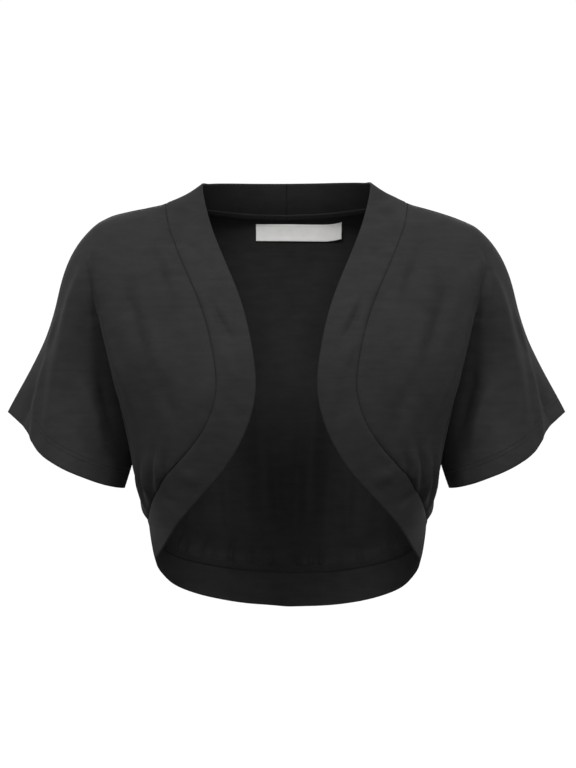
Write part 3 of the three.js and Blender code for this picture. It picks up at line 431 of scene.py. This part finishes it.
def make_cloth(node, piece, gathered_at=None, sewn=()):
    """A smooth, creased sheet from a CAD wall. It is gathered both ways from a place on its
    rim, and sinks a little along the rim stretches nearest to the sewn places."""
    middle, thickness, triangles = read_wall(node)
    corners = rim_corners(middle, triangles)
    values = np.column_stack([middle, thickness])
    for unused in range(REFINEMENTS):
        values, triangles = refine(values, triangles, corners)
    points, thickness = values[:, :3], values[:, 3]
    normals = point_normals(points, triangles)
    height = crease_height(piece, points)
    rough = Cloth(node, points, normals, thickness, triangles, corners, None)
    for side in (1, -1) if gathered_at else ():
        seam = points[side_near(rough, gathered_at)]
        nearest = np.linalg.norm(seam - np.array(gathered_at) * MM, axis=1).argmin()
        halves = (seam[nearest::-1], seam[nearest:])
        seam = max(halves, key=lambda half: (half[:, 0] * side).sum())
        height += gather_height(side, points, seam) * (points[:, 0] * side > 0)
    for place in sewn:
        stretch = side_near(rough, place)
        height[stretch] -= SEAM_DIP * eased(1 - points[stretch, 1] / SEAM_DIP_BEHIND)
    points = settled(points + normals * height[:, None])
    normals = point_normals(points, triangles)
    tree = BVHTree.FromPolygons([Vector(p) for p in points], triangles.tolist())
    return Cloth(node, points, normals, thickness, triangles, corners, tree)


def new_object(name, points, faces, material):
    mesh = bpy.data.meshes.new(name)
    mesh.from_pydata(np.asarray(points).tolist(), [], [list(face) for face in faces])
    mesh.validate()
    mesh.shade_smooth()
    mesh.materials.append(material)
    piece = bpy.data.objects.new(name, mesh)
    bpy.context.scene.collection.objects.link(piece)
    return piece


def rim_outward(points, normals, loop):
    """Directions that leave a sheet at its rim, in the plane of the cloth."""
    along = unit(points[np.roll(loop, -1)] - points[np.roll(loop, 1)])
    return unit(np.cross(along, normals[loop]))


def close_shell(name, points, normals, thickness, triangles, material):
    """Both faces of a sheet, joined by an edge that is rounded like folded cloth."""
    half = thickness[:, None] / 2
    loop = rim(triangles)
    outward = rim_outward(points, normals, loop)
    inset = points.copy()
    inset[loop] -= outward * half[loop]
    count = len(points)
    rings = []
    places = [inset + normals * half, inset - normals * half]
    for angle in (math.pi / 4, 0.0, -math.pi / 4):
        ring = inset[loop] + half[loop] * (math.cos(angle) * outward + math.sin(angle) * normals[loop])
        rings.append(2 * count + len(rings) * len(loop) + np.arange(len(loop)))
        places.append(ring)
    faces = triangles.tolist() + (triangles[:, ::-1] + count).tolist()
    rows = [loop, *rings, loop + count]
    for upper, lower in zip(rows, rows[1:]):
        quads = np.stack([upper, lower, np.roll(lower, -1), np.roll(upper, -1)], axis=1)
        faces += quads.tolist()
    return new_object(name, np.vstack(places), faces, material)


def grid_triangles(rows, columns):
    a = (np.arange(rows - 1)[:, None] * columns + np.arange(columns - 1)[None]).ravel()
    return np.concatenate([
        np.stack([a, a + columns, a + columns + 1], axis=1),
        np.stack([a, a + columns + 1, a + 1], axis=1),
    ])


def evenly_along(line, pitch):
    """Points and places along a line of points, about one pitch apart."""
    lengths = np.concatenate([[0], np.cumsum(np.linalg.norm(np.diff(line, axis=0), axis=1))])
    count = max(int(round(lengths[-1] / pitch)), 1)
    places = np.linspace(0, lengths[-1], count + 1)
    return np.stack([np.interp(places, lengths, line[:, k]) for k in range(3)], axis=1)


def lay(cloth, side, distances, lift):
    """Rows of points on a cloth, each at one distance in from a side of it. A positive lift
    is off the outer face, a negative one off the inner face."""
    line = cloth.points[side]
    along = unit(np.gradient(line, axis=0))
    inward = unit(np.cross(cloth.normals[side], along))
    half = cloth.thickness[side][:, None] / 2
    rows = []
    for distance in distances:
        row = []
        for point, direction, deep in zip(line, inward, half):
            place, normal = cloth.tree.find_nearest(Vector(point + direction * max(distance, 0)))[:2]
            spot = np.array(place) + direction * min(distance, 0)
            row.append(spot + np.array(normal) * (math.copysign(deep[0], lift) + lift))
        rows.append(row)
    return np.array(rows)


def tubes(name, paths, radius, material, around=5):
    """Thin closed threads along the paths, as one mesh."""
    places = []
    faces = []
    circle = np.arange(around) * 2 * math.pi / around
    for path in paths:
        path = np.asarray(path)
        along = unit(np.gradient(path, axis=0))
        up = np.array([0.0, 0.0, 1.0])
        first = unit(np.cross(along, up) + np.cross(along, [1e-3, 2e-3, 0]))
        second = np.cross(along, first)
        ring = np.cos(circle)[None, :, None] * first[:, None]
        ring = ring + np.sin(circle)[None, :, None] * second[:, None]
        start = len(places)
        places += (path[:, None] + ring * radius).reshape(-1, 3).tolist()
        for i in range(len(path) - 1):
            low = start + i * around
            for k in range(around):
                after = (k + 1) % around
                faces.append([low + k, low + after, low + around + after, low + around + k])
        faces.append([start + k for k in reversed(range(around))])
        last = start + (len(path) - 1) * around
        faces.append([last + k for k in range(around)])
    return new_object(name, places, faces, material)


def seam_core(name, cloth, side, material):
    """The thread and turned edges that fill the narrow gap of a seam."""
    line = cloth.points[side]
    along = unit(np.gradient(line, axis=0))
    outward = unit(np.cross(along, cloth.normals[side]))
    sunk = cloth.normals[side] * SEAM_CORE_SUNK
    path = evenly_along(line + outward * SEAM_GAP / 2 - sunk, SEAM_CORE_STEP)
    return tubes(name, [path], SEAM_CORE, material)


def seam_allowance(name, cloth, side, materials):
    """Overlocked edge of a seam, pressed flat against the inside of a cloth, with its threads."""
    widths = np.linspace(ALLOWANCE_START, ALLOWANCE_WIDTH, ALLOWANCE_ROWS)
    grid = lay(cloth, side, widths, -(ALLOWANCE_LIFT + ALLOWANCE_THICKNESS / 2))
    rows, columns = grid.shape[:2]
    points = grid.reshape(-1, 3)
    triangles = grid_triangles(rows, columns)
    normals = point_normals(points, triangles)
    inner = cloth.normals[side].mean(axis=0)
    if (normals.mean(axis=0) @ inner) < 0:
        triangles = triangles[:, ::-1]
        normals = -normals
    thickness = np.full(len(points), ALLOWANCE_THICKNESS)
    strip = close_shell(name, points, normals, thickness, triangles, materials["allowance"])
    lift = -(ALLOWANCE_LIFT + ALLOWANCE_THICKNESS + OVERLOCK_THREAD * THREAD_SUNK)
    stops = [OVERLOCK_FROM, ALLOWANCE_WIDTH / 2, ALLOWANCE_WIDTH - OVERLOCK_EDGE]
    over = lay(cloth, side, stops, lift)
    lines = [evenly_along(row, OVERLOCK_PITCH) for row in over]
    count = min(len(line) for line in lines)
    lines = [line[np.linspace(0, len(line) - 1, count).astype(int)] for line in lines]
    paths = [[line[i] for line in lines] for i in range(count)]
    threads = tubes(f"{name}_threads", paths, OVERLOCK_THREAD, materials["thread"], 4)
    threads.parent = strip
    return strip


def hem_stitches(name, cloth, side, material):
    """Two rows of straight stitches on the outer face, at the depth of the turned hem."""
    paths = []
    for row in lay(cloth, side, HEM_ROWS, HEM_THREAD * HEM_THREAD_PROUD):
        line = evenly_along(row, HEM_STITCH + HEM_STITCH_GAP)
        share = HEM_STITCH / (HEM_STITCH + HEM_STITCH_GAP)
        for a, b in zip(line, line[1:]):
            paths.append([a + (b - a) * share * t for t in (0.0, 0.5, 1.0)])
    return tubes(name, paths, HEM_THREAD, material)


class Nodes:
    """Short forms for building a material's nodes. An input named n and a number goes to the
    socket with that number, and any other to the socket of its name."""

    def __init__(self, name):
        self.material = bpy.data.materials.new(name)
        self.material.use_nodes = True
        self.tree = self.material.node_tree
        self.shader = self.tree.nodes["Principled BSDF"]

    def add(self, kind, **inputs):
        node = self.tree.nodes.new(kind)
        for name, value in inputs.items():
            self.put(node, name, value)
        return node

    def put(self, node, name, value):
        by_number = name[0] == "n" and name[1:].isdigit()
        socket = node.inputs[int(name[1:]) if by_number else name]
        if isinstance(value, bpy.types.NodeSocket):
            self.tree.links.new(value, socket)
        else:
            socket.default_value = value

    def math(self, operation, a, b=0.0, c=0.0):
        node = self.add("ShaderNodeMath", n0=a, n1=b, n2=c)
        node.operation = operation
        return node.outputs[0]

    def mix(self, share, a, b):
        return self.math("ADD", a, self.math("MULTIPLY", share, self.math("SUBTRACT", b, a)))

    def noise(self, vector, scale, detail=3.0, roughness=0.5):
        node = self.add("ShaderNodeTexNoise", Vector=vector, Scale=scale, Detail=detail, Roughness=roughness)
        return node.outputs["Fac"]

    def wave(self, place, period):
        """Rounded ridges a period apart."""
        return self.math("SINE", self.math("MULTIPLY", place, 2 * math.pi / period))


WALE = 0.75 * MM
COURSE = 0.55 * MM
KNIT_DEPTH = 0.1 * MM
FACING_SIDEWAYS = 0.7
SLUB_SCALE = (18.0, 18.0, 420.0)
HEATHER_SCALE = (60.0, 60.0, 130.0)
CLOUD_SCALE = 14.0
SLUB_TONE = 0.34
CLOUD_TONE = 0.5
HEATHER_TONE = 0.6
STITCH_TONE = 0.14
FUZZ_SCALE = 2600.0
LABEL_ROW = 0.35 * MM
LABEL_FLOAT = 0.9 * MM
LABEL_CLOUD_SCALE = 90.0


def jersey(name, colour, depth=KNIT_DEPTH):
    """Fine matte jersey: columns of stitches, a little slub along the courses, and a soft sheen."""
    nodes = Nodes(name)
    place = nodes.add("ShaderNodeTexCoord").outputs["Object"]
    split = nodes.add("ShaderNodeSeparateXYZ", Vector=place).outputs
    facing = nodes.add("ShaderNodeSeparateXYZ", Vector=nodes.add("ShaderNodeNewGeometry").outputs["Normal"])
    sideways = nodes.math("GREATER_THAN", nodes.math("ABSOLUTE", facing.outputs["X"]), FACING_SIDEWAYS)
    level = nodes.mix(sideways, split["X"], split["Y"])
    wales = nodes.math("ABSOLUTE", nodes.wave(level, 2 * WALE))
    courses = nodes.wave(nodes.math("ADD", split["Z"], nodes.math("MULTIPLY", wales, 0.3 * COURSE)), COURSE)
    stitches = nodes.math("MULTIPLY", wales, nodes.math("ADD", 0.7, nodes.math("MULTIPLY", courses, 0.3)))
    along = nodes.add("ShaderNodeMapping", Vector=place)
    along.inputs["Scale"].default_value = SLUB_SCALE
    slub = nodes.noise(along.outputs["Vector"], 1.0, 4.0, 0.65)
    cloudy = nodes.noise(place, CLOUD_SCALE, 3.0)
    wide = nodes.add("ShaderNodeMapping", Vector=place)
    wide.inputs["Scale"].default_value = HEATHER_SCALE
    heather = nodes.noise(wide.outputs["Vector"], 1.0, 4.0, 0.6)
    tone = nodes.math("MULTIPLY_ADD", slub, SLUB_TONE, -SLUB_TONE / 2)
    tone = nodes.math("ADD", tone, nodes.math("MULTIPLY_ADD", cloudy, CLOUD_TONE, -CLOUD_TONE / 2))
    tone = nodes.math("ADD", tone, nodes.math("MULTIPLY_ADD", heather, HEATHER_TONE, -HEATHER_TONE / 2))
    tone = nodes.math("ADD", tone, nodes.math("MULTIPLY_ADD", stitches, STITCH_TONE, 0.3))
    dark = nodes.add("ShaderNodeMix")
    dark.data_type = "RGBA"
    nodes.tree.links.new(tone, dark.inputs["Factor"])
    dark.inputs["A"].default_value = (*[0.62 * c for c in colour], 1.0)
    dark.inputs["B"].default_value = (*[1.75 * c for c in colour], 1.0)
    nodes.tree.links.new(dark.outputs["Result"], nodes.shader.inputs["Base Color"])
    raised = nodes.math("ADD", nodes.math("MULTIPLY", stitches, 1.0), nodes.math("MULTIPLY", slub, 0.8))
    bump = nodes.add("ShaderNodeBump", Height=raised, Strength=0.55, Distance=depth)
    nodes.tree.links.new(bump.outputs["Normal"], nodes.shader.inputs["Normal"])
    nodes.shader.inputs["Roughness"].default_value = 0.75
    nodes.shader.inputs["Specular IOR Level"].default_value = 0.08
    nodes.shader.inputs["Sheen Weight"].default_value = 0.02
    nodes.shader.inputs["Sheen Roughness"].default_value = 0.5
    return nodes.material


def thread_material(name, colour):
    """Spun thread, finely twisted."""
    nodes = Nodes(name)
    place = nodes.add("ShaderNodeTexCoord").outputs["Object"]
    fuzz = nodes.noise(place, FUZZ_SCALE, 2.0)
    bump = nodes.add("ShaderNodeBump", Height=fuzz, Strength=0.6, Distance=0.05 * MM)
    nodes.tree.links.new(bump.outputs["Normal"], nodes.shader.inputs["Normal"])
    shade = nodes.add("ShaderNodeMix")
    shade.data_type = "RGBA"
    nodes.tree.links.new(fuzz, shade.inputs["Factor"])
    shade.inputs["A"].default_value = (*[0.7 * c for c in colour], 1.0)
    shade.inputs["B"].default_value = (*[1.3 * c for c in colour], 1.0)
    nodes.tree.links.new(shade.outputs["Result"], nodes.shader.inputs["Base Color"])
    nodes.shader.inputs["Roughness"].default_value = 0.6
    nodes.shader.inputs["Specular IOR Level"].default_value = 0.1
    nodes.shader.inputs["Sheen Weight"].default_value = 0.03
    return nodes.material


def satin(name, colour):
    """Woven label satin: fine floats across, and a faint cloudiness."""
    nodes = Nodes(name)
    place = nodes.add("ShaderNodeTexCoord").outputs["Object"]
    split = nodes.add("ShaderNodeSeparateXYZ", Vector=place).outputs
    rows = nodes.wave(split["Z"], LABEL_ROW)
    floats = nodes.wave(nodes.math("ADD", split["X"], nodes.math("MULTIPLY", split["Z"], 2.0)), LABEL_FLOAT)
    weave = nodes.math("ADD", nodes.math("MULTIPLY", rows, 0.5), nodes.math("MULTIPLY", floats, 0.3))
    cloudy = nodes.noise(place, LABEL_CLOUD_SCALE, 3.0)
    tone = nodes.math("ADD", nodes.math("MULTIPLY", weave, 0.15), cloudy)
    shade = nodes.add("ShaderNodeMix")
    shade.data_type = "RGBA"
    nodes.tree.links.new(tone, shade.inputs["Factor"])
    shade.inputs["A"].default_value = (*[0.88 * c for c in colour], 1.0)
    shade.inputs["B"].default_value = (*[1.08 * c for c in colour], 1.0)
    nodes.tree.links.new(shade.outputs["Result"], nodes.shader.inputs["Base Color"])
    bump = nodes.add("ShaderNodeBump", Height=weave, Strength=0.4, Distance=0.05 * MM)
    nodes.tree.links.new(bump.outputs["Normal"], nodes.shader.inputs["Normal"])
    nodes.shader.inputs["Roughness"].default_value = 0.42
    nodes.shader.inputs["Sheen Weight"].default_value = 0.1
    return nodes.material


def plain(name, colour, roughness):
    nodes = Nodes(name)
    nodes.shader.inputs["Base Color"].default_value = (*colour, 1.0)
    nodes.shader.inputs["Roughness"].default_value = roughness
    return nodes.material


JERSEY = (0.0125, 0.0123, 0.0126)
MATERIALS = {
    "jersey": jersey("jersey", JERSEY),
    "allowance": jersey("jersey_allowance", [0.9 * c for c in JERSEY]),
    "thread": thread_material("overlock_thread", (0.011, 0.011, 0.0113)),
    "hem_thread": thread_material("hem_thread", (0.013, 0.013, 0.0135)),
    "label": satin("label_satin", (0.62, 0.615, 0.6)),
    "label_thread": thread_material("label_thread", (0.55, 0.54, 0.52)),
}


def finish_piece(piece):
    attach(piece, "root")


def dress(cloth, name):
    """The shell of a cloth, in place of its CAD wall."""
    sheet = (cloth.points, cloth.normals, cloth.thickness, cloth.triangles)
    shell = close_shell(name, *sheet, MATERIALS["jersey"])
    finish_piece(shell)
    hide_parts(cloth.name)
    return shell


# Named places in millimetres, one on each seam, on the wearer's left
BACK_MIDDLE = (0, 100, -352)
PLACES = {
    "front_seam": (66, -112, -150),
    "top": (182, 6, -23),
    "side": (140, 7, -265),
    "underarm": (148, 11, -249),
    "band_seam": (115, 5, 0),
    "sleeve_hem_front": (205, -48, -254),
    "sleeve_hem_back": (208, 58, -248),
    "neck_middle": (0, 79, 4),
    "band_side": (132, -3, -320),
    "label_top": (12, 80, -16),
}
LABEL_THINNER = 0.6
LABEL_LEFT = -30.0 * MM
LABEL_CURL_FROM = 36.0 * MM
LABEL_CURL_LENGTH = 18.0 * MM
LABEL_CURL = 3.4 * MM
LABEL_SAG = 0.9 * MM
LABEL_LIFT = 2.2 * MM
LABEL_RAISE = 1.3 * MM


def mirrored(place, side):
    return (side * place[0], place[1], place[2])


def make_fronts():
    for side, word in ((1, "left"), (-1, "right")):
        sewn = [mirrored(PLACES[name], side) for name in ("front_seam", "top")]
        cloth = make_cloth(f"front_{word}", "front", sewn=sewn)
        top = side_near(cloth, mirrored(PLACES["top"], side))
        low = side_near(cloth, mirrored(PLACES["side"], side))
        under = side_near(cloth, mirrored(PLACES["underarm"], side))
        hem = side_near(cloth, mirrored(PLACES["sleeve_hem_front"], side))
        extras = [
            seam_allowance(f"shoulder_allowance_{word}", cloth, top, MATERIALS),
            seam_core(f"shoulder_seam_{word}", cloth, top, MATERIALS["thread"]),
            seam_allowance(f"side_allowance_{word}", cloth, low, MATERIALS),
            seam_core(f"side_seam_{word}", cloth, low, MATERIALS["thread"]),
            seam_allowance(f"underarm_allowance_{word}", cloth, under, MATERIALS),
            seam_core(f"underarm_seam_{word}", cloth, under, MATERIALS["thread"]),
            hem_stitches(f"sleeve_stitches_front_{word}", cloth, hem, MATERIALS["hem_thread"]),
        ]
        for piece in extras:
            finish_piece(piece)
        dress(cloth, f"front_{word}_cloth")


def make_back():
    sewn = [mirrored(PLACES["top"], side) for side in (1, -1)]
    cloth = make_cloth("back", "back", BACK_MIDDLE, sewn)
    extras = []
    for side, word in ((1, "left"), (-1, "right")):
        hem = side_near(cloth, mirrored(PLACES["sleeve_hem_back"], side))
        name = f"sleeve_stitches_back_{word}"
        extras.append(hem_stitches(name, cloth, hem, MATERIALS["hem_thread"]))
    for piece in extras:
        finish_piece(piece)
    dress(cloth, "back_cloth")


def make_bands():
    for side, word in ((1, "left"), (-1, "right")):
        cloth = make_cloth(f"band_{word}", "band", sewn=[mirrored(PLACES["band_seam"], side)])
        seam = side_near(cloth, mirrored(PLACES["band_seam"], side))
        join = side_near(cloth, mirrored(PLACES["band_side"], side))
        extras = [
            seam_allowance(f"band_allowance_{word}", cloth, seam, MATERIALS),
            seam_core(f"band_seam_{word}", cloth, seam, MATERIALS["thread"]),
            seam_core(f"band_join_{word}", cloth, join, MATERIALS["thread"]),
        ]
        if side > 0:
            middle = side_near(cloth, PLACES["neck_middle"])
            extras.append(seam_core("neck_middle_seam", cloth, middle, MATERIALS["thread"]))
        for piece in extras:
            finish_piece(piece)
        dress(cloth, f"band_{word}_cloth")
    cloth = make_cloth("band_back_hem", "hem")
    seam = side_near(cloth, BACK_MIDDLE)
    extras = [
        seam_allowance("hem_allowance", cloth, seam, MATERIALS),
        seam_core("hem_seam", cloth, seam, MATERIALS["thread"]),
    ]
    for piece in extras:
        finish_piece(piece)
    dress(cloth, "band_back_hem_cloth")


def make_label():
    """The label hangs a little unevenly, and its right end curls off the cloth."""
    cloth = make_cloth("neck_label", "label")
    points = cloth.points.copy()
    along = (points[:, 0] - LABEL_LEFT) / (LABEL_CURL_FROM - LABEL_LEFT)
    curl = np.clip((points[:, 0] - LABEL_CURL_FROM) / LABEL_CURL_LENGTH, 0, 1) ** 2
    points[:, 2] += LABEL_RAISE + LABEL_LIFT * curl - LABEL_SAG * np.clip(along, 0, 1)
    points[:, 1] -= LABEL_CURL * curl
    normals = point_normals(points, cloth.triangles)
    thickness = cloth.thickness * LABEL_THINNER
    shell = close_shell("neck_label_cloth", points, normals, thickness, cloth.triangles, MATERIALS["label"])
    finish_piece(shell)
    tree = BVHTree.FromPolygons([Vector(p) for p in points], cloth.triangles.tolist())
    bent = Cloth("neck_label", points, normals, thickness, cloth.triangles, cloth.corners, tree)
    paths = []
    top = side_near(bent, PLACES["label_top"])
    for row in lay(bent, top, [LABEL_STITCH_INSET], -LABEL_THREAD * LABEL_THREAD_PROUD):
        line = evenly_along(row, LABEL_STITCH)
        for a, b in zip(line, line[1:]):
            paths.append([a, (a + b) / 2, a + (b - a) * LABEL_STITCH_SHARE])
    stitches = tubes("label_stitches", paths, LABEL_THREAD, MATERIALS["label_thread"], 4)
    finish_piece(stitches)
    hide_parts("neck_label")


# The pale room, which is darker towards the ground
ROOM_STRENGTH = 1.04
ROOM_BELOW = 0.15
ROOM_DARK_BELOW = -0.45
ROOM_LIGHT_ABOVE = -0.03


def make_stage():
    corners = [(-FLOOR_REACH, -FLOOR_REACH), (FLOOR_REACH, -FLOOR_REACH)]
    corners += [(-a, -b) for a, b in corners]
    mesh = bpy.data.meshes.new("floor")
    mesh.from_pydata([(a, b, FLOOR_HEIGHT) for a, b in corners], [], [range(4)])
    floor = bpy.data.objects.new("floor", mesh)
    bpy.context.scene.collection.objects.link(floor)
    floor.data.materials.append(plain("pale_floor", FLOOR_COLOUR, FLOOR_ROUGHNESS))
    floor.visible_diffuse = False
    floor.visible_glossy = False
    floor.visible_shadow = False
    world = bpy.data.worlds.new("studio")
    world.use_nodes = True
    tree = world.node_tree
    place = tree.nodes.new("ShaderNodeTexCoord")
    split = tree.nodes.new("ShaderNodeSeparateXYZ")
    tree.links.new(place.outputs["Generated"], split.inputs["Vector"])
    share = tree.nodes.new("ShaderNodeMapRange")
    share.inputs["From Min"].default_value = ROOM_DARK_BELOW
    share.inputs["From Max"].default_value = ROOM_LIGHT_ABOVE
    share.inputs["To Min"].default_value = ROOM_BELOW
    tree.links.new(split.outputs["Z"], share.inputs["Value"])
    background = tree.nodes["Background"]
    tree.links.new(share.outputs["Result"], background.inputs["Color"])
    background.inputs["Strength"].default_value = ROOM_STRENGTH
    bpy.context.scene.world = world


Light = namedtuple("Light", "name place size power")
LIGHTS = [
    Light("key_left", (-0.85, -2.4, 1.9), 0.9, 57.0),
    Light("key_right", (0.85, -2.4, 1.9), 0.9, 53.0),
    Light("front", (0.0, -2.7, 0.1), 0.9, 9.5),
    Light("behind", (0.0, 2.7, 0.7), 1.6, 34.0),
]
LIGHTS_AIM = (0.0, 0.0, -0.15)


def make_lights():
    for light in LIGHTS:
        data = bpy.data.lights.new(light.name, "AREA")
        data.shape = "DISK"
        data.size = light.size
        data.energy = light.power
        lamp = bpy.data.objects.new(light.name, data)
        lamp.location = light.place
        aim = Vector(LIGHTS_AIM) - Vector(light.place)
        lamp.rotation_euler = aim.to_track_quat("-Z", "Y").to_euler()
        bpy.context.scene.collection.objects.link(lamp)


def make_camera():
    data = bpy.data.cameras.new("camera")
    data.lens = LENS
    data.sensor_width = SENSOR_WIDTH
    camera = bpy.data.objects.new("camera", data)
    camera.location = CAMERA_PLACE
    camera.rotation_euler = (math.pi / 2, 0.0, 0.0)
    bpy.context.scene.collection.objects.link(camera)
    bpy.context.scene.camera = camera


bpy.context.scene.view_settings.view_transform = "Standard"
make_camera()
make_stage()
make_lights()
make_fronts()
make_back()
make_bands()
make_label()
